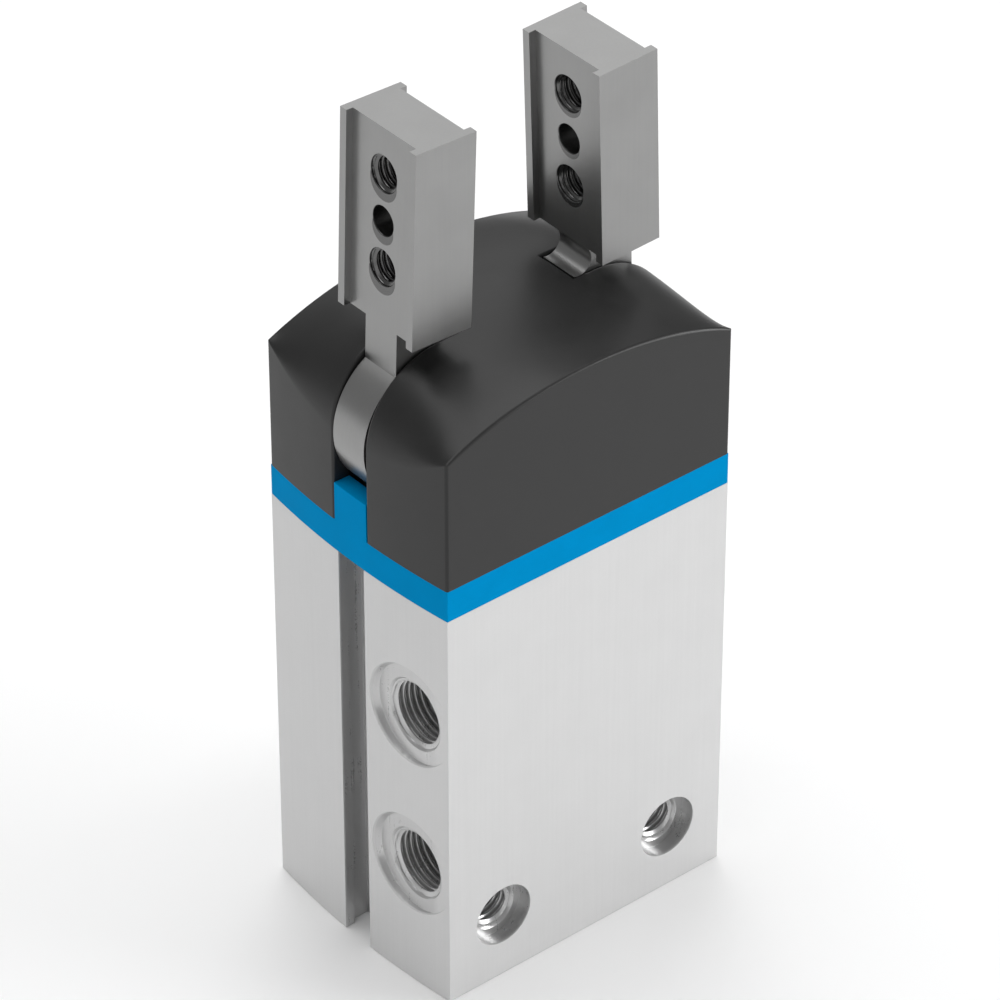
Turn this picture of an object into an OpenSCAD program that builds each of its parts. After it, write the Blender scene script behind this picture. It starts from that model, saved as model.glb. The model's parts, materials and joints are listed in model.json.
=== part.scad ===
// Pneumatic radial gripper with two jaws that swing outward.
// Millimetres, +Z up. The origin is the centre of the bottom face of the housing.
// X runs across the two jaws, Y is the depth of the body, and the ports face -X.

/* [Housing] */
// Width of the broad faces
body_w = 46; // [40:0.5:60]
// Depth over the two broad faces
body_d = 35.2; // [30:0.1:45]
// How far the two narrow faces bulge at mid depth
face_bulge = 1.2; // [0:0.1:3]
// Height of the aluminium housing
housing_h = 61.6; // [50:0.1:80]
// Diameter of the cylinder bore
bore_d = 25; // [20:0.5:25]
// Width of the mouth of each sensor slot
sensor_w = 5.1; // [4:0.1:6]
// Depth of each sensor slot
sensor_depth = 5.2; // [3:0.1:6]

/* [Ports] */
// Major diameter of the G1/8 port threads
port_d = 9.73; // [5:0.01:13.2]
// Diameter of the spot face around each port, where it meets the surface
port_face_d = 15.4; // [10:0.1:20]
// How much narrower the floor of a spot face is than its mouth
port_flare = 1.4; // [0:0.1:3]
// Distance of the ports from mid depth, towards -Y
port_y = 11; // [8:0.1:12]
// Height of the port that opens the jaws
port_low_z = 19.1; // [16:0.1:22]
// Height of the port that closes the jaws
port_high_z = 43.3; // [38:0.1:46]

/* [Mounting holes] */
// Distance between the two mounting holes of a broad face
mount_pitch = 28; // [20:0.5:34]
// Height of the mounting holes
mount_z = 9.8; // [8:0.1:14]
// Major diameter of the M6 mounting threads
mount_d = 6; // [4:0.5:8]
// Diameter of the recess for a centring sleeve
sleeve_d = 9; // [6:0.5:12]
// Depth of the recess for a centring sleeve
sleeve_depth = 2.1; // [1:0.1:4]

/* [Cap and band] */
// Thickness of the coloured band plate
band_h = 4.6; // [2:0.1:8]
// Height of the top of the cap at mid depth
cap_top_z = 91.5; // [88:0.1:96]
// Radius of the round-over at the two ends of the cap
cap_round_r = 11.6; // [6:0.1:14]
// Radius of the shallow arc along the broad faces
cap_arc_r = 58; // [40:1:120]
// Width of the slots that the jaws swing in
jaw_slot_w = 6.4; // [6.2:0.1:8]

/* [Jaws] */
// Distance of each pivot from the middle plane
pivot_x = 13.6; // [12:0.1:16]
// Height of the pivots
pivot_z = 79.45; // [75:0.05:85]
// Radius of the round hub of a jaw
hub_r = 10.6; // [9:0.1:12]
// Thickness of the hub and the neck
hub_t = 6; // [4:0.1:8]
// Height of a finger block
finger_h = 27.8; // [20:0.1:40]
// Width of a finger block in Y, over its two lips
finger_w = 14.4; // [12:0.1:20]
// Thickness of the lips beside a finger block
lip_t = 1.2; // [0.8:0.1:2]
// How far the lips stand past the two faces with the holes
lip_out = 1; // [0.4:0.1:2]
// Major diameter of the M5 finger threads
finger_thread_d = 5; // [3:0.5:6]
// Diameter of the dowel hole between the finger threads
finger_dowel_d = 4; // [2:0.5:5]
// Distance between the holes of a finger block
finger_pitch = 6.6; // [6:0.1:10]
// Inward lean of the closed jaws, past parallel
closed_lean = 1.9; // [0:0.1:4]
// Opening angle of one jaw from its closed position
open_angle = 92; // [60:1:95]

/* [Drive] */
// Lever arm between a drive pin and its pivot, and piston travel per radian
drive_arm = 4.8; // [4:0.1:5.2]
// Depth of the drive pins below the pivots when closed
drive_drop = 9.35; // [9:0.05:9.8]
// Diameter of the drive pins
drive_pin_d = 3; // [2.5:0.1:3.5]
// Diameter of the pivot pins
pivot_pin_d = 4; // [3:0.1:5]
// Diameter of the piston rod
rod_d = 10; // [8:1:12]

/* [Hidden] */
$fn = 72;
eps = 0.01;
half_w = body_w / 2;
half_d = body_d / 2;
// radius and centre offset of the bulged narrow faces
side_r = (half_d * half_d + face_bulge * face_bulge) / (2 * face_bulge);
end_x = half_w + face_bulge;
side_cx = side_r - end_x;
band_z = housing_h;
cap_z = housing_h + band_h;
// heights inside the cylinder
ring_z = 3.2;
cover_z = 4.5;
cover_top_z = 16.5;
chamber_top_z = 45;
pocket_z = 54;
bumper_t = 1.5;
stroke = drive_arm * open_angle * PI / 180;
piston_z = cover_top_z + bumper_t + 0.1;
piston_top_z = chamber_top_z - bumper_t - 0.1 - stroke;
// the clevis that carries the two drive pins
pin_x = pivot_x - drive_arm;
pin_z = pivot_z - drive_drop;
clevis_z = 54.5;
clevis_floor_z = 60.5;
clevis_x = 10.8;
clevis_y = 6.6;
clevis_gap = 3.7;
pocket_x = 11;
pocket_y = 6.9;
// the bearing block under the cap
block_x = 21.4;
block_y = 15;
block_top_z = 84;
block_floor_z = 68.3;
block_gap = 3.6;
screw_x = 18.2;
screw_y = 9.8;
screw_head_z = 77;
dowel_y = 10.4;
grub_y = 10;
// the finger block, from the pivot
finger_z = 15.3;
// edge break at the mouths of the holes in a finger block
hole_break = 0.1;
// height of the two tongues over the band plate
tongue_h = 5.7;
web_in = -1.6;
web_out = 5.7;
neck_in = -3.7;
cam_clear = 0.03;
cam_wall = 1.1;

// ---- helpers ----

// round bar along X, from x0 to x1
module bar_x(d, x0, x1, y, z) {
    translate([x0, y, z])
        rotate([0, 90, 0])
            cylinder(d = d, h = x1 - x0);
}

// cone along X, from diameter d0 at x0 to d1 at x1
module cone_x(d0, d1, x0, x1, y, z) {
    translate([x0, y, z])
        rotate([0, 90, 0])
            cylinder(d1 = d0, d2 = d1, h = x1 - x0);
}

// round bar along Y, from y0 to y1
module bar_y(d, y0, y1, x, z) {
    translate([x, y1, z])
        rotate([90, 0, 0])
            cylinder(d = d, h = y1 - y0);
}

// upright round bar, from z0 to z1
module bar_z(d, z0, z1, x = 0, y = 0) {
    translate([x, y, z0])
        cylinder(d = d, h = z1 - z0);
}

// box from one corner to the other
module box(a, b) {
    translate(a)
        cube(b - a);
}

// upright ring
module ring_z(d_out, d_in, z0, z1) {
    difference() {
        bar_z(d_out, z0, z1);
        bar_z(d_in, z0 - 1, z1 + 1);
    }
}

// the plan shape shared by housing, band and cap: flat broad faces, bulged narrow faces
module plan_block(z0, z1) {
    intersection() {
        box([-end_x - 1, -half_d, z0], [end_x + 1, half_d, z1]);
        translate([-side_cx, 0, z0 - 1])
            cylinder(r = side_r, h = z1 - z0 + 2, $fn = 400);
        translate([side_cx, 0, z0 - 1])
            cylinder(r = side_r, h = z1 - z0 + 2, $fn = 400);
    }
}

// outline in XZ pushed out along Y, from y0 to y1
module slab_y(y0, y1) {
    translate([0, y1, 0])
        rotate([90, 0, 0])
            linear_extrude(height = y1 - y0)
                children();
}

// ---- housing ----

// countersunk port with its flat spot face, which has a flared wall, and the passage to the chamber
module port_cut(z) {
    face_x = -half_w - 0.1;
    rise = end_x + face_x;
    cone_x(port_face_d + port_flare, port_face_d - port_flare, -end_x - rise, face_x, -port_y, z);
    bar_x(port_d, face_x - 1, face_x + 8.5, -port_y, z);
    cone_x(port_d + 0.6, port_d, face_x - eps, face_x + 0.3, -port_y, z);
    bar_x(2.5, face_x + 8, -3, -port_y, z);
}

// M6 thread with a recess for a centring sleeve, cut from the broad face s
module mount_cut(x, s) {
    y0 = s * half_d;
    deep = sleeve_depth + 8;
    bar_y(sleeve_d, min(y0 + s, y0 - s * sleeve_depth), max(y0 + s, y0 - s * sleeve_depth), x, mount_z);
    bar_y(mount_d, min(y0 + s, y0 - s * deep), max(y0 + s, y0 - s * deep), x, mount_z);
    translate([x, y0 - s * (sleeve_depth - eps), mount_z])
        rotate([s * 90, 0, 0])
            cylinder(d1 = mount_d + 0.8, d2 = mount_d, h = 0.4);
}

// sensor slot along the middle of a narrow face
module sensor_cut(s) {
    inner_w = sensor_w + 1.5;
    x_in = end_x - sensor_depth;
    x_lip = end_x - 1.5;
    box([min(s * x_in, s * (end_x + 2)), -sensor_w / 2, -1],
        [max(s * x_in, s * (end_x + 2)), sensor_w / 2, housing_h + 1]);
    box([min(s * (x_in + 1), s * x_lip), -inner_w / 2, -1],
        [max(s * (x_in + 1), s * x_lip), inner_w / 2, housing_h + 1]);
}

module housing() {
    color([0.80, 0.80, 0.80])
        difference() {
            plan_block(0, housing_h);
            bar_z(bore_d, -1, chamber_top_z);
            translate([0, 0, -eps])
                cylinder(d1 = bore_d + 1.2, d2 = bore_d, h = 0.6);
            // groove of the retaining ring
            bar_z(bore_d + 1.2, ring_z, ring_z + 1.2);
            // rod seal groove, rod bush seat and the room for the clevis
            bar_z(rod_d + 0.4, chamber_top_z - 1, pocket_z);
            bar_z(15, 46.2, 49);
            bar_z(14, 49, pocket_z + 1);
            box([-pocket_x, -pocket_y, pocket_z], [pocket_x, pocket_y, housing_h + 1]);
            for (s = [-1, 1]) {
                sensor_cut(s);
                for (x = [-mount_pitch / 2, mount_pitch / 2])
                    mount_cut(x, s);
                bar_z(3, 57.5, housing_h + 1, 0, s * dowel_y);
            }
            for (x = [-screw_x, screw_x], y = [-screw_y, screw_y])
                bar_z(3, 50.5, housing_h + 1, x, y);
            port_cut(port_low_z);
            port_cut(port_high_z);
        }
}

// plug that closes the bottom of the cylinder
module bottom_cover() {
    color([0.72, 0.72, 0.73])
        difference() {
            bar_z(bore_d - 0.04, cover_z, cover_top_z);
            ring_z(bore_d + 1, 21.5, 9.3, 11.7);
            bar_z(11, cover_z - 1, cover_z + 5);
            translate([0, 0, cover_top_z])
                rotate_extrude()
                    polygon([[bore_d / 2 - 0.8, eps], [bore_d / 2 + 1, eps],
                             [bore_d / 2 + 1, -0.8], [bore_d / 2, -0.8]]);
        }
}

module cover_o_ring() {
    color([0.08, 0.08, 0.08])
        translate([0, 0, 10.5])
            rotate_extrude()
                translate([11.6, 0])
                    circle(r = 0.84, $fn = 32);
}

// internal retaining ring with two ears
module retaining_ring() {
    color([0.20, 0.20, 0.21])
        difference() {
            union() {
                ring_z(bore_d + 1.1, 21.8, ring_z, ring_z + 1.2);
                for (s = [-1, 1])
                    intersection() {
                        bar_z(4.4, ring_z, ring_z + 1.2, s * 3.4, 10);
                        bar_z(bore_d - 1, ring_z - 1, ring_z + 3);
                    }
            }
            box([-1.6, 6, 0], [1.6, 16, 10]);
            for (s = [-1, 1])
                bar_z(1.6, 0, 10, s * 3.4, 9.9);
        }
}

module lower_bumper() {
    color([0.10, 0.10, 0.11])
        ring_z(20, 12.4, cover_top_z, cover_top_z + bumper_t);
}

module upper_bumper() {
    color([0.10, 0.10, 0.11])
        ring_z(20, 12.4, chamber_top_z - bumper_t, chamber_top_z);
}

module rod_bush() {
    color([0.66, 0.50, 0.26])
        ring_z(14, rod_d + 0.06, 49, pocket_z);
}

// lip seal in the groove below the bush
module rod_seal() {
    color([0.07, 0.07, 0.07])
        difference() {
            ring_z(15, rod_d + 0.04, 46.2, 48.8);
            ring_z(13.2, 11.8, 45, 47.6);
        }
}

// ---- piston, rod and clevis ----

// long piston with reduced ends, two seal grooves and a magnet groove
module piston() {
    color([0.74, 0.74, 0.76])
        difference() {
            union() {
                bar_z(21, piston_z, piston_top_z);
                bar_z(bore_d - 0.2, piston_z + 3, piston_top_z - 3);
            }
            ring_z(bore_d + 1, 20.4, 22.2, 24.4);
            ring_z(bore_d + 1, 18, 25.6, 28.2);
            ring_z(bore_d + 1, 20.4, 29.4, 31.6);
            bar_z(7, piston_z - 1, piston_top_z + 1);
            bar_z(11, piston_z - 1, 24);
        }
}

// two rubber seals, one in each outer groove
module piston_seals() {
    color([0.07, 0.07, 0.07])
        for (z = [22.2, 29.4])
            translate([0, 0, z + 1.1])
                rotate_extrude()
                    polygon([[10.2, -1], [12.2, -1], [12.48, -0.4], [12.48, 0.4], [12.2, 1], [10.2, 1]]);
}

module piston_magnet() {
    color([0.25, 0.25, 0.27])
        ring_z(23.8, 18, 25.7, 28.1);
}

// socket head screw that clamps the piston to the rod
module piston_screw() {
    color([0.30, 0.30, 0.32])
        difference() {
            union() {
                bar_z(8.5, 19, 24);
                bar_z(5, 24, 32);
            }
            bar_z(4.6, 18, 21.5, $fn = 6);
        }
}

module piston_rod() {
    color([0.70, 0.71, 0.73])
        difference() {
            union() {
                bar_z(7, 24, piston_top_z);
                bar_z(rod_d, piston_top_z, clevis_z);
                bar_z(6, clevis_z, clevis_floor_z);
            }
            bar_z(5, 23, 32.5);
        }
}

// clevis with two cheeks that hold the drive pins on both sides of the jaws
module rod_head() {
    color([0.52, 0.53, 0.55])
        difference() {
            slab_y(-clevis_y, clevis_y)
                polygon([[-7.5, clevis_z], [7.5, clevis_z], [7.5, 59], [clevis_x, 66],
                    [clevis_x, 71.6], [clevis_x - 0.7, 72.3], [5.4, 72.3], [3.4, 66], [-3.4, 66],
                    [-5.4, 72.3], [0.7 - clevis_x, 72.3], [-clevis_x, 71.6], [-clevis_x, 66], [-7.5, 59]]);
            box([-20, -clevis_gap, clevis_floor_z], [20, clevis_gap, 90]);
            bar_z(6, clevis_z - 1, clevis_floor_z + 1);
            for (s = [-1, 1])
                bar_y(drive_pin_d, -20, 20, s * pin_x, pin_z);
        }
}

module drive_pins() {
    color([0.62, 0.63, 0.65])
        for (s = [-1, 1])
            bar_y(drive_pin_d, -clevis_y, clevis_y, s * pin_x, pin_z);
}

// ---- band, bearing block and its fasteners ----

// coloured plate with a tongue that closes the foot of each jaw slot
module band_plate() {
    color([0.0, 0.52, 0.82])
        difference() {
            union() {
                plan_block(band_z, cap_z);
                intersection() {
                    plan_block(band_z, cap_z + 20);
                    for (s = [-1, 1])
                        box([s > 0 ? block_x + 0.2 : -end_x - 2, -jaw_slot_w / 2 + 0.05, band_z + 1],
                            [s > 0 ? end_x + 2 : -block_x - 0.2, jaw_slot_w / 2 - 0.05, cap_z + tongue_h]);
                }
            }
            box([-pocket_x, -pocket_y, band_z - 1], [pocket_x, pocket_y, cap_z + 1]);
            for (s = [-1, 1]) {
                bar_y(2 * hub_r + 1, -20, 20, s * pivot_x, pivot_z);
                bar_z(3, band_z - 1, cap_z + 1, 0, s * dowel_y);
            }
            for (x = [-screw_x, screw_x], y = [-screw_y, screw_y])
                bar_z(3.4, band_z - 1, cap_z + 1, x, y);
        }
}

// block that carries the pivot pins, hidden under the cap
module bearing_block() {
    color([0.60, 0.61, 0.62])
        difference() {
            box([-block_x, -block_y, cap_z], [block_x, block_y, block_top_z]);
            box([-pocket_x, -pocket_y, 0], [pocket_x, pocket_y, 90]);
            box([-15.5, -block_gap, 0], [15.5, block_gap, 90]);
            box([-30, -block_gap, block_floor_z], [30, block_gap, 90]);
            for (s = [-1, 1]) {
                bar_y(pivot_pin_d, -13.5, 13.5, s * pivot_x, pivot_z);
                bar_z(3, 0, cap_z + 4.5, 0, s * dowel_y);
                // grooves that the snap lugs of the cap sit in
                box([-12, min(s * 14.3, s * 20), 74.5], [12, max(s * 14.3, s * 20), 76.5]);
            }
            for (x = [-screw_x, screw_x], y = [-screw_y, screw_y]) {
                bar_z(3.4, 0, 90, x, y);
                bar_z(5.9, screw_head_z - 3, 90, x, y);
            }
            for (x = [-pivot_x, pivot_x], y = [-grub_y, grub_y])
                bar_z(3, pivot_z + 1, 90, x, y);
        }
}

module block_screws() {
    color([0.24, 0.24, 0.25])
        for (x = [-screw_x, screw_x], y = [-screw_y, screw_y])
            difference() {
                union() {
                    bar_z(5.5, screw_head_z - 3, screw_head_z, x, y);
                    bar_z(3, 51, screw_head_z - 3, x, y);
                }
                bar_z(2.9, screw_head_z - 1.6, screw_head_z + 1, x, y, $fn = 6);
            }
}

module block_dowels() {
    color([0.62, 0.63, 0.65])
        for (s = [-1, 1])
            bar_z(3, 57.5, cap_z + 4.5, 0, s * dowel_y);
}

// headless screws that lock the pivot pins
module pin_grub_screws() {
    color([0.24, 0.24, 0.25])
        for (x = [-pivot_x, pivot_x], y = [-grub_y, grub_y])
            difference() {
                bar_z(3, pivot_z + pivot_pin_d / 2, block_top_z - 0.2, x, y);
                bar_z(1.7, block_top_z - 1.3, block_top_z + 1, x, y, $fn = 6);
            }
}

module pivot_pin(s) {
    color([0.66, 0.67, 0.69])
        bar_y(pivot_pin_d, -13.5, 13.5, s * pivot_x, pivot_z);
}

module thrust_washers(s) {
    color([0.70, 0.58, 0.34])
        for (m = [-1, 1])
            difference() {
                bar_y(6.8, min(m * 3.05, m * block_gap), max(m * 3.05, m * block_gap), s * pivot_x, pivot_z);
                bar_y(pivot_pin_d, -20, 20, s * pivot_x, pivot_z);
            }
}

// ---- jaws ----

// The drive pin rises straight up at a fixed distance from the pivot. Seen from the
// swinging jaw it runs along an involute, which gives a constant ratio.
function cam_drop(a) = -drive_drop + drive_arm * a * PI / 180;
function cam_x(a) = -drive_arm * cos(a) - cam_drop(a) * sin(a);
function cam_z(a) = -drive_arm * sin(a) + cam_drop(a) * cos(a);
function cam_side(a, w) = [cam_x(a) - w * sin(a), cam_z(a) + w * cos(a)];

// band of half width w along the cam curve, between angles a0 and a1, with round ends
module cam_band(w, a0, a1, y0, y1) {
    steps = 24;
    da = (a1 - a0) / steps;
    slab_y(y0, y1)
        polygon(concat([for (i = [0:steps]) cam_side(a0 + i * da, w)],
            [for (i = [steps:-1:0]) cam_side(a0 + i * da, -w)]));
    for (a = [a0, a1])
        bar_y(2 * w, y0, y1, cam_x(a), cam_z(a));
}

// finger block, neck and hub of the right jaw, upright, about its pivot
module jaw_solid() {
    ht = hub_t / 2;
    fw = finger_w / 2;
    top = finger_z + finger_h;
    bar_y(2 * hub_r, -ht, ht, 0, 0);
    box([neck_in, -ht, 0], [web_out, ht, finger_z - 1.55]);
    box([web_in, -ht, 0], [web_out, ht, finger_z + 1]);
    box([web_in, -fw + lip_t, finger_z], [web_out, fw - lip_t, top]);
    for (s = [-1, 1])
        slab_y(min(s * fw, s * (fw - lip_t)), max(s * fw, s * (fw - lip_t)))
            polygon([[web_in - lip_out, finger_z], [web_out + lip_out, finger_z],
                [web_out + lip_out, top], [web_in - lip_out, top]]);
}

module jaw(s) {
    ht = hub_t / 2;
    top = finger_z + finger_h;
    lean = closed_lean;
    color([0.60, 0.60, 0.60])
        translate([s * pivot_x, 0, pivot_z])
            mirror([s > 0 ? 0 : 1, 0, 0])
                difference() {
                    union() {
                        rotate([0, -lean, 0])
                            jaw_solid();
                        cam_band(drive_pin_d / 2 + cam_wall, 0, 40, -ht, ht);
                    }
                    rotate([0, -lean, 0]) {
                        // round relief between the finger block and the hub
                        bar_y(4, -ht - 1, ht + 1, -2.9, finger_z - 1.55);
                        for (i = [0:2]) {
                            d = i == 1 ? finger_dowel_d : finger_thread_d;
                            z = top - 6.4 - i * finger_pitch;
                            bar_x(d, -10, 15, 0, z);
                            cone_x(d, d + 2 * hole_break, web_out - hole_break, web_out + eps, 0, z);
                            cone_x(d + 2 * hole_break, d, web_in - eps, web_in + hole_break, 0, z);
                        }
                    }
                    bar_y(6, -ht - 1, ht + 1, 0, 0);
                    cam_band(drive_pin_d / 2 + cam_clear, -0.6, open_angle + 1.2, -ht - 1, ht + 1);
                }
}

module jaw_bush(s) {
    color([0.66, 0.50, 0.26])
        difference() {
            bar_y(6, -hub_t / 2, hub_t / 2, s * pivot_x, pivot_z);
            bar_y(pivot_pin_d + 0.06, -hub_t, hub_t, s * pivot_x, pivot_z);
        }
}

// ---- cap ----

// end face of the plan shape at depth y
function edge_x(y) = sqrt(side_r * side_r - y * y) - side_cx;
// one point of the mid-depth outline: i runs from the end face (0) to the middle (1)
round_share = 0.62;
round_cx = end_x - cap_round_r;
round_cz = cap_top_z - 0.1 - cap_round_r;
function mid_a(i) = 90 * i / round_share;
function mid_x(i) = i < round_share ? round_cx + cap_round_r * cos(mid_a(i))
    : round_cx * (1 - i) / (1 - round_share);
function mid_z(i) = i < round_share ? round_cz + cap_round_r * sin(mid_a(i))
    : cap_top_z - 0.1 * pow(mid_x(i) / round_cx, 2);
// the outline of the broad faces is one shallow arc that meets the ends at a sharp corner
broad_top_z = cap_top_z - 1.4;
function broad_x(i) = mid_x(i) * half_w / end_x;
function broad_z(i) = broad_top_z - cap_arc_r + sqrt(pow(cap_arc_r, 2) - pow(broad_x(i), 2));
// share of the mid-depth outline at depth y
function share(y) = 1 - pow(abs(y) / half_d, 2.2);
function skin_x(i, y) = (broad_x(i) + share(y) * (mid_x(i) - broad_x(i))) * edge_x(y)
    / (half_w + share(y) * face_bulge);
function skin_z(i, y) = broad_z(i) + share(y) * (mid_z(i) - broad_z(i));
skin_n = 16;
function skin_row(y) = concat([[edge_x(y), y, cap_z]],
    [for (k = [0:skin_n]) [skin_x(k / skin_n, y), y, skin_z(k / skin_n, y)]],
    [for (k = [skin_n - 1:-1:0]) [-skin_x(k / skin_n, y), y, skin_z(k / skin_n, y)]],
    [[-edge_x(y), y, cap_z]]);
row_ys = [for (k = [-12:12]) half_d * sin(90 * k / 12)];
row_n = 2 * skin_n + 3;

// smooth outer skin of the cap, lofted from row to row
module cap_skin() {
    pts = [for (y = row_ys) each skin_row(y)];
    last = len(row_ys) - 1;
    sides = [for (r = [0:last - 1], k = [0:row_n - 1])
        let (a = r * row_n + k, b = r * row_n + (k + 1) % row_n)
        each [[a, b, a + row_n], [b, b + row_n, a + row_n]]];
    front = [for (k = [1:row_n - 2]) [0, k + 1, k]];
    back = [for (k = [1:row_n - 2]) [last * row_n, last * row_n + k, last * row_n + k + 1]];
    polyhedron(points = pts, faces = concat(sides, front, back), convexity = 4);
}

module cap() {
    lug_y = block_y + 0.2;
    color([0.13, 0.13, 0.13])
        union() {
            difference() {
                cap_skin();
                box([-block_x - 0.2, -lug_y, cap_z - 1], [block_x + 0.2, lug_y, block_top_z + 0.2]);
                // room for the levers of the jaws
                box([-9.4, -jaw_slot_w / 2, cap_z - 1], [9.4, jaw_slot_w / 2, 88.3]);
                for (s = [-1, 1]) {
                    bar_y(2 * hub_r + 0.7, -jaw_slot_w / 2, jaw_slot_w / 2, s * pivot_x, pivot_z);
                    box([min(s * 9.2, s * 30), -jaw_slot_w / 2, cap_z - 1],
                        [max(s * 9.2, s * 30), jaw_slot_w / 2, cap_top_z + 5]);
                }
            }
            for (s = [-1, 1], x = [-8, 8])
                box([x - 3, min(s * 14.5, s * (lug_y + 0.5)), 74.8],
                    [x + 3, max(s * 14.5, s * (lug_y + 0.5)), 76.2]);
        }
}

housing();
bottom_cover();
cover_o_ring();
retaining_ring();
lower_bumper();
upper_bumper();
rod_bush();
rod_seal();
piston();
piston_seals();
piston_magnet();
piston_screw();
piston_rod();
rod_head();
drive_pins();
band_plate();
bearing_block();
block_screws();
block_dowels();
pin_grub_screws();
pivot_pin(-1);  // pivot_pin_left
pivot_pin(1);  // pivot_pin_right
thrust_washers(-1);  // thrust_washers_left
thrust_washers(1);  // thrust_washers_right
jaw(-1);  // jaw_left
jaw(1);  // jaw_right
jaw_bush(-1);  // jaw_bush_left
jaw_bush(1);  // jaw_bush_right
cap();
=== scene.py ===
import json
import math

import bmesh
import bpy
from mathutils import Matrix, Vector


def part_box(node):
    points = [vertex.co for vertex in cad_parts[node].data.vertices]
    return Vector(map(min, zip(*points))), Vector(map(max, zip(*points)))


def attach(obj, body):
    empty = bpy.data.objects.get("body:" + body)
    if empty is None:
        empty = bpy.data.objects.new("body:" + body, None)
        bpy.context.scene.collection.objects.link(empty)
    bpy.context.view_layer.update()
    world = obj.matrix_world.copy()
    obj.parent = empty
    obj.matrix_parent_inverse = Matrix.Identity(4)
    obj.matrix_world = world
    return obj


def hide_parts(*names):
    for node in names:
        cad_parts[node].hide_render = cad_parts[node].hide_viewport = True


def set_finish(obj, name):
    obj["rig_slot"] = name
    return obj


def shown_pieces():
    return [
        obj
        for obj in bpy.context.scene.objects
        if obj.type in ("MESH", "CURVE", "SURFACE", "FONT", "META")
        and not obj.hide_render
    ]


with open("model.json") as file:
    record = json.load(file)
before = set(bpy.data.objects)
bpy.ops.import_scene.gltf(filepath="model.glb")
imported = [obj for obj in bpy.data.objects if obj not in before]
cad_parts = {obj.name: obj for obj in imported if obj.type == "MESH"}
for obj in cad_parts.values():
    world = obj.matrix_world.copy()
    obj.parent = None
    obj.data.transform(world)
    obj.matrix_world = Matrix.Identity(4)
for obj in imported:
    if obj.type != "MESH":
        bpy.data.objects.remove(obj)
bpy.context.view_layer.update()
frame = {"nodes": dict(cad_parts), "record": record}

MM = 0.001
nodes = frame["nodes"]

# ---- driving dimensions that the frame's boxes don't give ----

CORNER_X = 23 * MM  # half the width of the broad faces
CAP_ROUND_R = 11.6 * MM  # round-over at the two ends of the cap
CAP_ARC_R = 58 * MM  # shallow arc along the broad faces of the cap
CAP_CROWN = 1.4 * MM  # how far mid depth stands above the broad faces
CAP_DISH = 0.1 * MM  # how far the flat top falls from its middle to the round-over
CAP_EDGE_R = 0.35 * MM  # rounded edges of the broad faces and of the jaw slots
SLOT_HALF = 3.2 * MM  # half the width of a jaw slot
SLOT_END_X = 9.2 * MM  # where a jaw slot ends, from the middle plane
HUB_ROOM_R = 10.95 * MM  # room for the round hub of a jaw
CEILING_Z = 88.3 * MM  # ceiling of the room for the levers
ROOM_GAP = 0.2 * MM  # gap round the bearing block and past the ends of the jaw slots
BELOW = 5 * MM  # how far a cutter reaches past the face it starts from
LUG_X, LUG_HALF = 8 * MM, 3 * MM  # snap lugs of the cap: place from the middle and half length
LUG_Y = (14.5 * MM, 15.7 * MM)
LUG_Z = (74.8 * MM, 76.2 * MM)
SLEEVE_BACK = 0.12 * MM  # how far a thread's sleeve is buried in the wall
MOUTH_DEPTH = 0.2 * MM  # depth of a thread's mouth that keeps the finish of its part

housing_lo, housing_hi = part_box("housing")
cap_lo, cap_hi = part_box("cap")
HALF_D = housing_hi.y
END_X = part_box("band_plate")[1].x
CAP_Z, CAP_TOP = cap_lo.z, cap_hi.z
pin_lo, pin_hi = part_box("pivot_pin_right")
PIVOT = (pin_lo + pin_hi) / 2

# ---- small helpers ----


def new_object(name, mesh, body, slot, *replaced):
    """A finished mesh as a piece that rides on a body and stands for CAD nodes."""
    obj = bpy.data.objects.new(name, mesh)
    bpy.context.scene.collection.objects.link(obj)
    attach(obj, body)
    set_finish(obj, slot)
    if replaced:
        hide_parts(*replaced)
    return obj


def box_mesh(bm, lo, hi):
    """Adds a closed box to bm."""
    verts = bmesh.ops.create_cube(bm, size=1)["verts"]
    size = Vector(hi) - Vector(lo)
    for v in verts:
        v.co = Vector(lo) + Vector([(v.co[k] + 0.5) * size[k] for k in range(3)])


def prism_y(bm, outline, half_width):
    """Adds an outline in XZ, pushed out to both sides of mid depth, to bm."""
    near, far = ([bm.verts.new((x, y, z)) for x, z in outline] for y in (-half_width, half_width))
    for k in range(len(outline)):
        n = (k + 1) % len(outline)
        bm.faces.new((near[k], near[n], far[n], far[k]))
    bm.faces.new(near)
    bm.faces.new(far)


def boolean(mesh, other, operation):
    """mesh joined with or cut by other. Both are used up."""
    a = bpy.data.objects.new("operand_a", mesh)
    b = bpy.data.objects.new("operand_b", other)
    for o in (a, b):
        bpy.context.scene.collection.objects.link(o)
    mod = a.modifiers.new("cut", "BOOLEAN")
    mod.operation, mod.object, mod.solver = operation, b, "EXACT"
    bpy.context.view_layer.update()
    result = bpy.data.meshes.new_from_object(a.evaluated_get(bpy.context.evaluated_depsgraph_get()))
    for o in (a, b):
        bpy.data.objects.remove(o)
    return result


def to_mesh(bm, name):
    mesh = bpy.data.meshes.new(name)
    bmesh.ops.recalc_face_normals(bm, faces=bm.faces)
    bm.to_mesh(mesh)
    bm.free()
    return mesh


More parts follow.
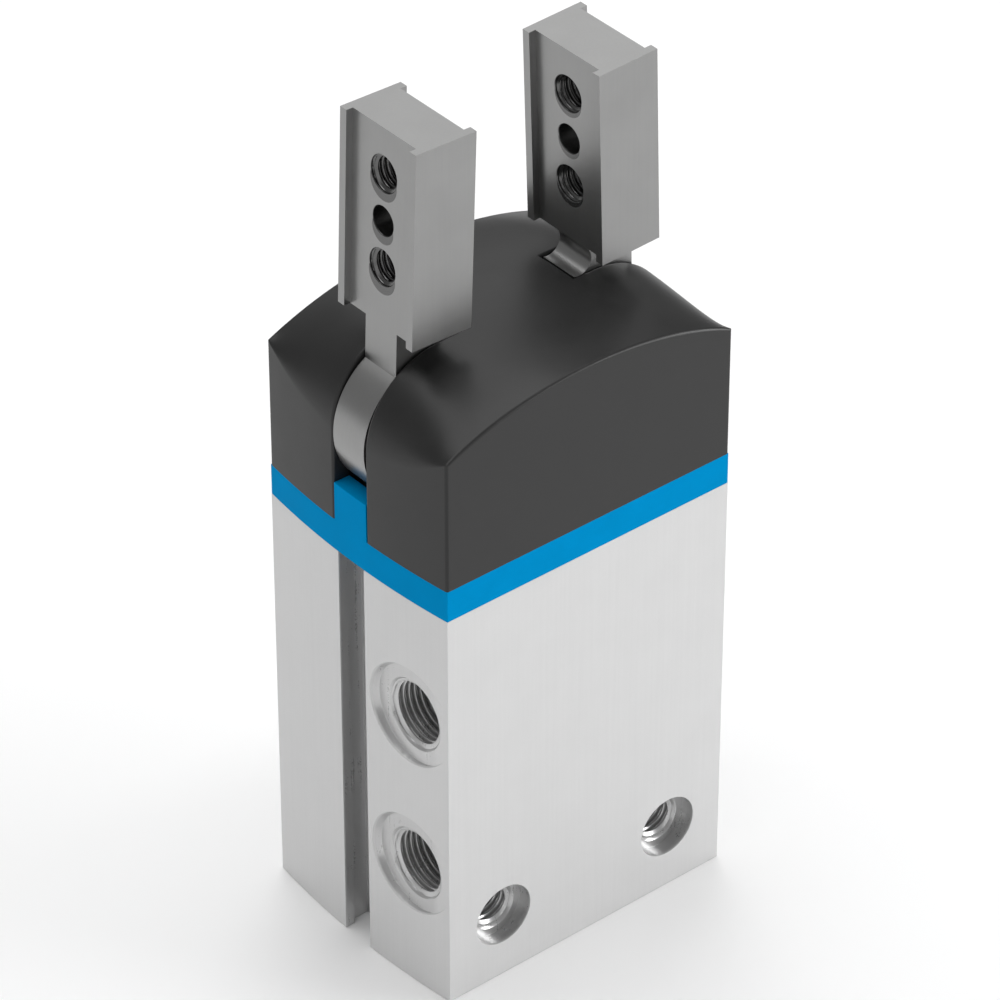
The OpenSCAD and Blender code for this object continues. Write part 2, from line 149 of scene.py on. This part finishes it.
def round_slot_edges(mesh):
    """Rounds the upper edges of the jaw slots."""
    bm = bmesh.new()
    bm.from_mesh(mesh)
    bmesh.ops.recalc_face_normals(bm, faces=bm.faces)
    edges = [
        e for e in bm.edges
        if e.is_convex and e.calc_face_angle(0) > math.radians(35)
        and all(abs(v.co.y) < SLOT_HALF + 1e-6 for v in e.verts)
        and any(v.co.z > CAP_Z + 1e-6 for v in e.verts)
    ]
    bmesh.ops.bevel(
        bm, geom=edges, offset=CAP_EDGE_R, segments=3, profile=0.5, affect="EDGES",
        clamp_overlap=False, loop_slide=True,
    )
    bm.to_mesh(mesh)
    bm.free()
    return mesh


def smooth(obj, angle=30):
    """Smooth shading, with edges sharper than the angle kept crisp."""
    for p in obj.data.polygons:
        p.use_smooth = True
    obj.data.set_sharp_from_angle(angle=math.radians(angle))


# ---- cap: a smooth lofted skin, with the slots and the room inside cut out ----

bulge = END_X - CORNER_X
side_r = (HALF_D**2 + bulge**2) / (2 * bulge)
round_cx = END_X - CAP_ROUND_R
round_cz = CAP_TOP - CAP_DISH - CAP_ROUND_R


def edge_x(y):
    """End face of the plan shape at depth y."""
    return math.sqrt(side_r**2 - y**2) - (side_r - END_X)


def mid_profile():
    """Outline at mid depth, from the end face to the middle plane."""
    turn = [math.radians(90 * k / 40) for k in range(41)]
    points = [(round_cx + CAP_ROUND_R * math.cos(a), round_cz + CAP_ROUND_R * math.sin(a)) for a in turn]
    flat = [round_cx + (SLOT_END_X - round_cx) * k / 8 for k in range(1, 9)]
    flat += [SLOT_END_X * (1 - k / 20) for k in range(1, 21)]
    return points + [(x, CAP_TOP - CAP_DISH * (x / round_cx) ** 2) for x in flat]


def skin_row(y):
    """One row of the skin at depth y, from the end face at +X to the middle plane."""
    share = 1 - (abs(y) / HALF_D) ** 2.2
    inset = edge_inset(y)
    shrink = 1 - inset / edge_x(y)
    row = [Vector((edge_x(y) * shrink, y, CAP_Z))]
    for mx, mz in mid_profile():
        bx = mx * CORNER_X / END_X
        bz = CAP_TOP - CAP_CROWN - CAP_ARC_R + math.sqrt(CAP_ARC_R**2 - bx**2)
        x = (bx + share * (mx - bx)) * edge_x(y) / (CORNER_X + share * bulge)
        if abs(mx - SLOT_END_X) < 1e-9 and abs(y) < SLOT_HALF + 1e-9:
            x = SLOT_END_X
        row.append(Vector((x * shrink, y, bz + share * (mz - bz) - inset)))
    return row


def edge_inset(y):
    """How far the rounding of the broad faces' edges draws the skin in at depth y."""
    past = abs(y) - (HALF_D - CAP_EDGE_R)
    return CAP_EDGE_R - math.sqrt(CAP_EDGE_R**2 - past**2) if past > 0 else 0


def row_depths():
    """Depths of the rows, close together in the rounding at both broad faces."""
    step = SLOT_HALF / 8
    start = HALF_D - CAP_EDGE_R
    half = [k * step for k in range(1, math.ceil(start / step))]
    half += [start + CAP_EDGE_R * math.sin(math.radians(a)) for a in (0, 22.5, 45, 67.5)] + [HALF_D]
    return [-y for y in half[::-1]] + [0] + half


def cap_mesh():
    bm = bmesh.new()
    rows = []
    for y in row_depths():
        right = skin_row(y)
        left = [Vector((-p.x, p.y, p.z)) for p in right[-2::-1]]
        rows.append([bm.verts.new(p) for p in right + left])
    for a, b in zip(rows, rows[1:]):
        for k in range(len(a)):
            n = (k + 1) % len(a)
            bm.faces.new((a[k], a[n], b[n], b[k]))
    bm.faces.new(rows[0])
    bm.faces.new(rows[-1])
    mesh = to_mesh(bm, "cap_skin")
    for s in (-1, 1):
        cut = bmesh.new()
        xs = sorted((s * SLOT_END_X, s * 2 * END_X))
        box_mesh(cut, (xs[0], -SLOT_HALF, CAP_Z - BELOW), (xs[1], SLOT_HALF, CAP_TOP + BELOW))
        mesh = boolean(mesh, to_mesh(cut, "slot"), "DIFFERENCE")
    mesh = round_slot_edges(mesh)
    # room inside: the bearing block, the levers and the two hubs
    block_lo, block_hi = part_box("bearing_block")
    pocket, room = bmesh.new(), bmesh.new()
    box_mesh(pocket, (block_lo.x - ROOM_GAP, block_lo.y - ROOM_GAP, CAP_Z - BELOW),
             (block_hi.x + ROOM_GAP, block_hi.y + ROOM_GAP, block_hi.z + ROOM_GAP))
    # levers under a flat ceiling that rises round the hubs, a hair wider than the slots
    room_x, low = SLOT_END_X + ROOM_GAP, CAP_Z - BELOW
    first = math.acos((room_x - PIVOT.x) / HUB_ROOM_R)
    last = math.pi - math.asin((CEILING_Z - PIVOT.z) / HUB_ROOM_R)
    turn = [first + (last - first) * k / 8 for k in range(9)]
    half = [(PIVOT.x + HUB_ROOM_R * math.cos(a), PIVOT.z + HUB_ROOM_R * math.sin(a)) for a in turn]
    outline = [(room_x, low), *half] + [(-x, z) for x, z in half[::-1]] + [(-room_x, low)]
    prism_y(room, outline, SLOT_HALF + 0.02 * MM)
    for cut in (pocket, room):
        mesh = boolean(mesh, to_mesh(cut, "room"), "DIFFERENCE")
    # snap lugs that hold the cap on the bearing block
    for s in (-1, 1):
        for x in (-LUG_X, LUG_X):
            lug = bmesh.new()
            ys = sorted(s * y for y in LUG_Y)
            box_mesh(lug, (x - LUG_HALF, ys[0], LUG_Z[0]), (x + LUG_HALF, ys[1], LUG_Z[1]))
            mesh = boolean(mesh, to_mesh(lug, "lug"), "UNION")
    mesh.name = "cap_shell"
    return mesh


cap = new_object("cap_shell", cap_mesh(), "body", "cap", "cap")
smooth(cap, 35)
even = cap.modifiers.new("even_normals", "WEIGHTED_NORMAL")
even.mode, even.weight, even.keep_sharp = "FACE_AREA", 100, True

# ---- screw threads, cut into the walls of the CAD holes ----


def thread_mesh(name, mouth, into, major_r, length, pitch, depth, through, around=64, per_pitch=10):
    """A right-handed internal thread as a closed sleeve whose back is buried in the wall.
    mouth is the centre of the mouth and into the direction into the hole."""
    back_r = major_r + SLEEVE_BACK
    lead = 3  # steepness of the lead-in
    inside = 0.03  # a column this close to an end, in turns, is left out
    side = Vector((0, 0, 1))
    e1 = (side - into * side.dot(into)).normalized()
    e2 = into.cross(e1)

    def point(j, s, r=None):
        if r is None:
            phase = (s / pitch - j / around) % 1
            # root over 1/8 of the pitch, crest over 1/4, flanks between, and a short lead-in
            rise = min(max((abs(phase - 0.5) * 2 - 0.125) / 0.625, 0), 1)
            r = max(major_r - depth * rise, major_r - lead * s, major_r - (length - s) if through else 0)
        a = 2 * math.pi * j / around
        return mouth + into * s + (e1 * math.cos(a) + e2 * math.sin(a)) * r

    def columns(j):
        """First and last grid column strictly inside the sleeve at angle j."""
        lo = math.floor(per_pitch * (inside - j / around)) + 1
        hi = math.ceil(per_pitch * (length / pitch - inside - j / around)) - 1
        return lo, hi

    bm = bmesh.new()
    mouth_ring, end_ring = ([bm.verts.new(point(j, s)) for j in range(around)] for s in (0, length))
    back = [[bm.verts.new(point(j, s, back_r)) for j in range(around)] for s in (0, length)]
    grid = {}
    for j in range(around):
        lo, hi = columns(j)
        for k in range(lo, hi + 1):
            grid[j, k] = bm.verts.new(point(j, pitch * (k / per_pitch + j / around)))

    def at(j, k):
        return grid[0, k + per_pitch] if j == around else grid[j, k]

    for j in range(around):
        n = (j + 1) % around
        (lo0, hi0), (lo1, hi1) = columns(j), columns(j + 1)
        lo, hi = max(lo0, lo1), min(hi0, hi1)
        for k in range(lo, hi):
            bm.faces.new((at(j, k), at(j + 1, k), at(j + 1, k + 1), at(j, k + 1)))
        foot = [at(j, k) for k in range(lo, lo0 - 1, -1)] + [mouth_ring[j], mouth_ring[n]]
        bm.faces.new(foot + [at(j + 1, k) for k in range(lo1, lo + 1)])
        head = [at(j + 1, k) for k in range(hi, hi1 + 1)] + [end_ring[n], end_ring[j]]
        bm.faces.new(head + [at(j, k) for k in range(hi0, hi - 1, -1)])
        bm.faces.new((mouth_ring[j], back[0][j], back[0][n], mouth_ring[n]))
        bm.faces.new((back[0][j], back[1][j], back[1][n], back[0][n]))
        bm.faces.new((back[1][j], end_ring[j], end_ring[n], back[1][n]))
    return to_mesh(bm, name)


# pitch and depth by the major radius of the hole, in millimetres: G1/8, M6 and M5
THREADS = {4.865: (0.907, 0.581), 3.0: (1.0, 0.541), 2.5: (0.8, 0.433)}
for mount in frame["record"]["mounts"]:
    if mount["kind"] == "threaded_hole":
        r_mm, length = mount["dims"]["r_mm"], mount["dims"]["length_mm"] * MM
        pitch, depth = (value * MM for value in THREADS[r_mm])
        outward = Vector(mount["axis"]).normalized()
        on_jaw = mount["name"].startswith("finger")
        side = mount["name"].split("_")[-1]
        mouth = Vector(mount["pos_m"]) + outward * length / 2
        mesh = thread_mesh(
            mount["name"] + "_turns", mouth, -outward, r_mm * MM, length, pitch, depth,
            through=on_jaw, around=96 if r_mm > 4 else 64,
        )
        sleeve = new_object(
            mesh.name, mesh, f"jaw_unit_{side}" if on_jaw else "body", "jaw" if on_jaw else "housing"
        )
        smooth(sleeve, 20)
        # faces deeper than the mouth take the thread finish, whose dark colour is painted shade inside the
        # hole
        for face in mesh.polygons:
            face.material_index = 1 if (mouth - face.center).dot(outward) > MOUTH_DEPTH else 0

# ---- edges: small machined or moulded edge breaks on every CAD node but the bearing block ----

EDGE_BREAK = {  # slot: width of the edge break in millimetres
    "housing": 0.15, "band": 0.12, "jaw": 0.28, "cover": 0.2, "screw": 0.12, "steel": 0.15,
    "rod": 0.15, "bronze": 0.12, "piston": 0.2, "magnet": 0.12, "spring_steel": 0.08, "elastomer": 0.08,
}
for node in nodes.values():
    slot = node.material_slots[0].material.name
    width = EDGE_BREAK.get(slot)
    if width is None or node.hide_render:
        continue
    weld = node.modifiers.new("weld", "WELD")
    weld.merge_threshold = 0.001 * MM
    flat = node.modifiers.new("flat_faces", "DECIMATE")
    flat.decimate_type, flat.angle_limit = "DISSOLVE", math.radians(0.05)
    edge = node.modifiers.new("edge_break", "BEVEL")
    edge.width, edge.segments, edge.limit_method, edge.angle_limit = width * MM, 2, "ANGLE", math.radians(32)
    edge.use_clamp_overlap = True
    if slot == "jaw":  # machined chamfers stay flat
        edge.segments = 1
        split = node.modifiers.new("crisp_edges", "EDGE_SPLIT")
        split.split_angle, split.use_edge_sharp = math.radians(40), False
    even = node.modifiers.new("even_normals", "WEIGHTED_NORMAL")
    even.mode, even.weight, even.keep_sharp = "FACE_AREA", 100, False

# ---- materials ----


CUT_AND_SHADE_FROM = (0.16 * MM, 0.3 * MM)  # depths below the housing's faces where the cut finish and its painted shade start and are full


class Graph:
    """A small builder for shader nodes. Textures run in object coordinates, in millimetres."""

    def __init__(self, name):
        self.material = bpy.data.materials.new(name)
        self.material.use_nodes = True
        self.tree = self.material.node_tree
        self.tree.nodes.clear()
        self.shader = self.add("ShaderNodeBsdfPrincipled")
        out = self.add("ShaderNodeOutputMaterial")
        self.tree.links.new(self.shader.outputs[0], out.inputs["Surface"])
        self.place = self.add("ShaderNodeTexCoord").outputs["Object"]

    def add(self, kind, **values):
        node = self.tree.nodes.new(kind)
        for key, value in values.items():
            setattr(node, key, value)
        return node

    def feed(self, socket, value):
        if isinstance(value, bpy.types.NodeSocket):
            self.tree.links.new(value, socket)
        else:
            socket.default_value = value

    def noise(self, size, stretch=(1, 1, 1), detail=2.0, rough=0.5):
        """Noise from 0 to 1 with features of that size in millimetres, stretched along the axes."""
        mapping = self.add("ShaderNodeMapping")
        mapping.inputs["Scale"].default_value = [1000 / (size * k) for k in stretch]
        self.feed(mapping.inputs["Vector"], self.place)
        tex = self.add("ShaderNodeTexNoise")
        tex.inputs["Scale"].default_value = 1
        tex.inputs["Detail"].default_value = detail
        tex.inputs["Roughness"].default_value = rough
        self.feed(tex.inputs["Vector"], mapping.outputs[0])
        return tex.outputs["Fac"]

    def math(self, operation, a, b):
        node = self.add("ShaderNodeMath", operation=operation)
        self.feed(node.inputs[0], a)
        self.feed(node.inputs[1], b)
        return node.outputs[0]

    def between(self, fac, low, high, start=0.3, end=0.7):
        node = self.add("ShaderNodeMapRange")
        for socket, value in zip(list(node.inputs)[:5], (fac, start, end, low, high)):
            self.feed(socket, value)
        return node.outputs[0]

    def tint(self, fac, dark, light):
        """A colour between dark and light."""
        node = self.add("ShaderNodeMix", data_type="RGBA")
        self.feed(node.inputs["Factor"], fac)
        self.feed(node.inputs[6], (*dark, 1))
        self.feed(node.inputs[7], (*light, 1))
        return node.outputs[2]

    def vector(self, operation, a, b):
        node = self.add("ShaderNodeVectorMath", operation=operation)
        self.feed(node.inputs[0], a)
        if b is not None:
            self.feed(node.inputs[1], b)
        return node

    def in_holes(self, mounts, reach):
        """1 on the walls of the holes that these mounts describe, and 0 outside them."""
        inside = 0.0
        for mount in mounts:
            offset = self.vector("SUBTRACT", self.place, mount["pos_m"]).outputs[0]
            across = self.vector("CROSS_PRODUCT", offset, mount["axis"]).outputs[0]
            distance = self.vector("LENGTH", across, None).outputs["Value"]
            near = self.math("LESS_THAN", distance, (mount["dims"]["r_mm"] + reach) * MM)
            inside = self.math("MAXIMUM", inside, near)
        return inside

    def below_skin(self):
        """1 where the housing is cut below its outer faces, and 0 on those faces."""
        split = self.add("ShaderNodeSeparateXYZ")
        self.feed(split.inputs[0], self.place)
        x, y = (self.math("ABSOLUTE", split.outputs[k], 0) for k in range(2))
        from_axis = self.math("ADD", x, side_r - END_X)  # the narrow faces are arcs round an upright axis
        squares = [self.math("POWER", value, 2) for value in (from_axis, y)]
        out = self.math("SQRT", self.math("ADD", *squares), 0)
        depth = self.math("MINIMUM", self.math("SUBTRACT", HALF_D, y), self.math("SUBTRACT", side_r, out))
        return self.between(depth, 0, 1, *CUT_AND_SHADE_FROM)

    def bump(self, height, depth_mm, before=None):
        node = self.add("ShaderNodeBump")
        node.inputs["Strength"].default_value = 1
        node.inputs["Distance"].default_value = depth_mm * MM
        self.feed(node.inputs["Height"], height)
        if before is not None:
            self.feed(node.inputs["Normal"], before)
        return node.outputs[0]


def finish_material(
    name, colour, spread, metallic, rough, rough_spread=0.05, patch=6.0, grain=0.15, grain_depth=0.003,
    lines=None, line_size=0.3, line_depth=0.002, line_share=0.4, specular=0.5, cut=None, cut_and_shade_mask=None,
):
    """One finish: slow patches and fine grain vary its colour and roughness, and grain and lines
    give its relief. Where cut_and_shade_mask(graph) is 1, the colour is darkened as painted shade in
    recesses and holes, and the surface is barer and smoother like freshly cut metal, by the three factors in
    cut (colour, metallic, roughness)."""
    g = Graph(name)
    patches = g.noise(patch, detail=3)
    fine = g.noise(grain, detail=2)
    mix = g.math("ADD", g.math("MULTIPLY", patches, 0.6), g.math("MULTIPLY", fine, 0.4))
    if lines:
        streaks = g.noise(line_size, stretch=lines, detail=3, rough=0.6)
        mix = g.math("ADD", g.math("MULTIPLY", mix, 1 - line_share), g.math("MULTIPLY", streaks, line_share))
    dark = [c * (1 - spread) for c in colour]
    light = [min(c * (1 + spread), 1) for c in colour]
    tone = g.tint(g.between(mix, 0, 1), dark, light)
    matt = g.between(mix, rough - rough_spread, rough + rough_spread)
    g.shader.inputs["Specular IOR Level"].default_value = specular
    if cut_and_shade_mask:
        where = cut_and_shade_mask(g)
        # the first cut factor darkens the colour: painted shade in recesses and holes
        shade = g.between(where, 1, cut[0], 0, 1)
        tone = g.vector("MULTIPLY", tone, shade).outputs[0]
        matt = g.math("MULTIPLY", matt, g.between(where, 1, cut[2], 0, 1))
        metallic = g.between(where, metallic, cut[1], 0, 1)
    g.feed(g.shader.inputs["Base Color"], tone)
    g.feed(g.shader.inputs["Roughness"], matt)
    g.feed(g.shader.inputs["Metallic"], metallic)
    normal = g.bump(fine, grain_depth)
    if lines:
        normal = g.bump(streaks, line_depth, normal)
    g.feed(g.shader.inputs["Normal"], normal)
    return g.material


UPRIGHT = (1, 1, 60)  # stretch of the lines: fine across, long along Z
HOLE_REACH = 0.03  # how far past a jaw hole's wall its cut finish and painted shade reach, in millimetres
jaw_holes = [m for m in frame["record"]["mounts"] if "r_mm" in m["dims"] and m["name"].startswith("finger")]
FINISHES = {
    # housing: below its outer faces the first cut factor darkens the colour as painted shade in recesses and
    # holes
    "housing": dict(colour=(0.66, 0.66, 0.66), spread=0.035, metallic=0.35, rough=0.48, grain=0.12,
                    grain_depth=0.002, lines=UPRIGHT, line_size=0.5, line_depth=0.003,
                    cut=(0.85, 0.7, 0.6), cut_and_shade_mask=lambda g: g.below_skin()),
    "cover": dict(colour=(0.60, 0.60, 0.61), spread=0.08, metallic=0.9, rough=0.42),
    "band": dict(colour=(0.0, 0.262, 0.575), spread=0.05, metallic=0.1, rough=0.45, grain=0.12, specular=0.0),
    "cap": dict(colour=(0.018, 0.018, 0.018), spread=0.12, metallic=0.0, rough=0.40, grain=0.12,
                grain_depth=0.003, specular=0.35),
    # jaw: on the walls of its holes the first cut factor darkens the colour as painted shade
    "jaw": dict(colour=(0.30, 0.30, 0.298), spread=0.06, metallic=0.9, rough=0.31, rough_spread=0.03,
                grain=0.1, grain_depth=0.0004, lines=UPRIGHT, line_size=0.35, line_depth=0.001,
                line_share=0.25, cut=(0.45, 0.95, 0.8), cut_and_shade_mask=lambda g: g.in_holes(jaw_holes, HOLE_REACH)),
    "elastomer": dict(colour=(0.02, 0.02, 0.02), spread=0.25, metallic=0.0, rough=0.6),
    "spring_steel": dict(colour=(0.09, 0.09, 0.10), spread=0.2, metallic=0.8, rough=0.4),
    "bronze": dict(colour=(0.55, 0.34, 0.13), spread=0.15, metallic=0.95, rough=0.4),
    "piston": dict(colour=(0.62, 0.62, 0.64), spread=0.06, metallic=0.95, rough=0.32),
    "magnet": dict(colour=(0.07, 0.07, 0.08), spread=0.25, metallic=0.3, rough=0.6),
    "screw": dict(colour=(0.06, 0.06, 0.065), spread=0.2, metallic=0.7, rough=0.4),
    "rod": dict(colour=(0.66, 0.67, 0.69), spread=0.04, metallic=1.0, rough=0.18),
    "steel": dict(colour=(0.50, 0.50, 0.51), spread=0.08, metallic=0.95, rough=0.3),
    "carrier": dict(colour=(0.42, 0.42, 0.43), spread=0.08, metallic=0.9, rough=0.42),
    # thread: its dark colour is painted shade inside the holes, not a different metal
    "thread": dict(colour=(0.26, 0.26, 0.26), spread=0.1, metallic=0.95, rough=0.28, grain_depth=0.001),
}
finishes = {slot: finish_material(slot + "_finish", **values) for slot, values in FINISHES.items()}

for node in nodes.values():
    for holder in node.material_slots:
        holder.material = finishes[holder.material.name]
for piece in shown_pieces():
    if "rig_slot" in piece:
        piece.data.materials.clear()
        piece.data.materials.append(finishes[piece["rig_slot"]])
        if piece.name.endswith("_turns"):
            piece.data.materials.append(finishes["thread"])

# ---- floor, light and camera ----


def plain_material(name, colour, rough):
    g = Graph(name)
    shade = g.noise(120, detail=1)
    g.feed(g.shader.inputs["Base Color"], g.tint(shade, [c * 0.985 for c in colour], colour))
    g.shader.inputs["Roughness"].default_value = rough
    g.shader.inputs["Specular IOR Level"].default_value = 0.2
    return g.material


bpy.ops.mesh.primitive_plane_add(size=6, location=(0, 0, -0.05 * MM))
floor = bpy.context.active_object
floor.name = "floor"
floor.data.materials.append(plain_material("floor_paper", (0.96, 0.96, 0.96), 0.8))


def soft_box(name, place, size, power, aim=(0, 0, 0.06)):
    light = bpy.data.lights.new(name, "AREA")
    light.shape, light.size, light.size_y, light.energy = "RECTANGLE", size[0], size[1], power
    obj = bpy.data.objects.new(name, light)
    obj.location = place
    obj.rotation_mode = "QUATERNION"
    obj.rotation_quaternion = (Vector(place) - Vector(aim)).to_track_quat("Z", "Y")
    bpy.context.scene.collection.objects.link(obj)


soft_box("key", (1.05, -0.85, 0.32), (1.0, 0.5), 12)
soft_box("overhead", (0.0, 0.2, 1.3), (1.2, 1.2), 12.5)
soft_box("back", (0.62, 0.78, 0.85), (0.9, 0.7), 2)
soft_box("left", (-1.1, -0.1, 0.3), (0.9, 0.5), 1)

world = bpy.data.worlds.new("studio")
world.use_nodes = True
world.node_tree.nodes["Background"].inputs["Color"].default_value = (1, 1, 1, 1)
world.node_tree.nodes["Background"].inputs["Strength"].default_value = 0.3
scene = bpy.context.scene
scene.world = world
scene.view_settings.view_transform = "Standard"

# the photograph's camera, worked out from the corners of the housing
AIM = Vector((0, 0, 59.7 * MM))
AZIMUTH, ELEVATION, DISTANCE = math.radians(39.7), math.radians(36.1), 710.7 * MM
across, up = math.cos(ELEVATION), math.sin(ELEVATION)
back = Vector((-math.sin(AZIMUTH) * across, -math.cos(AZIMUTH) * across, up))
camera = bpy.data.objects.new("camera", bpy.data.cameras.new("camera"))
camera.data.lens = 201.3
camera.data.sensor_width = 36
camera.data.clip_start, camera.data.clip_end = 0.01, 20
camera.location = AIM + back * DISTANCE
camera.rotation_mode = "QUATERNION"
camera.rotation_quaternion = back.to_track_quat("Z", "Y")
scene.collection.objects.link(camera)
scene.camera = camera
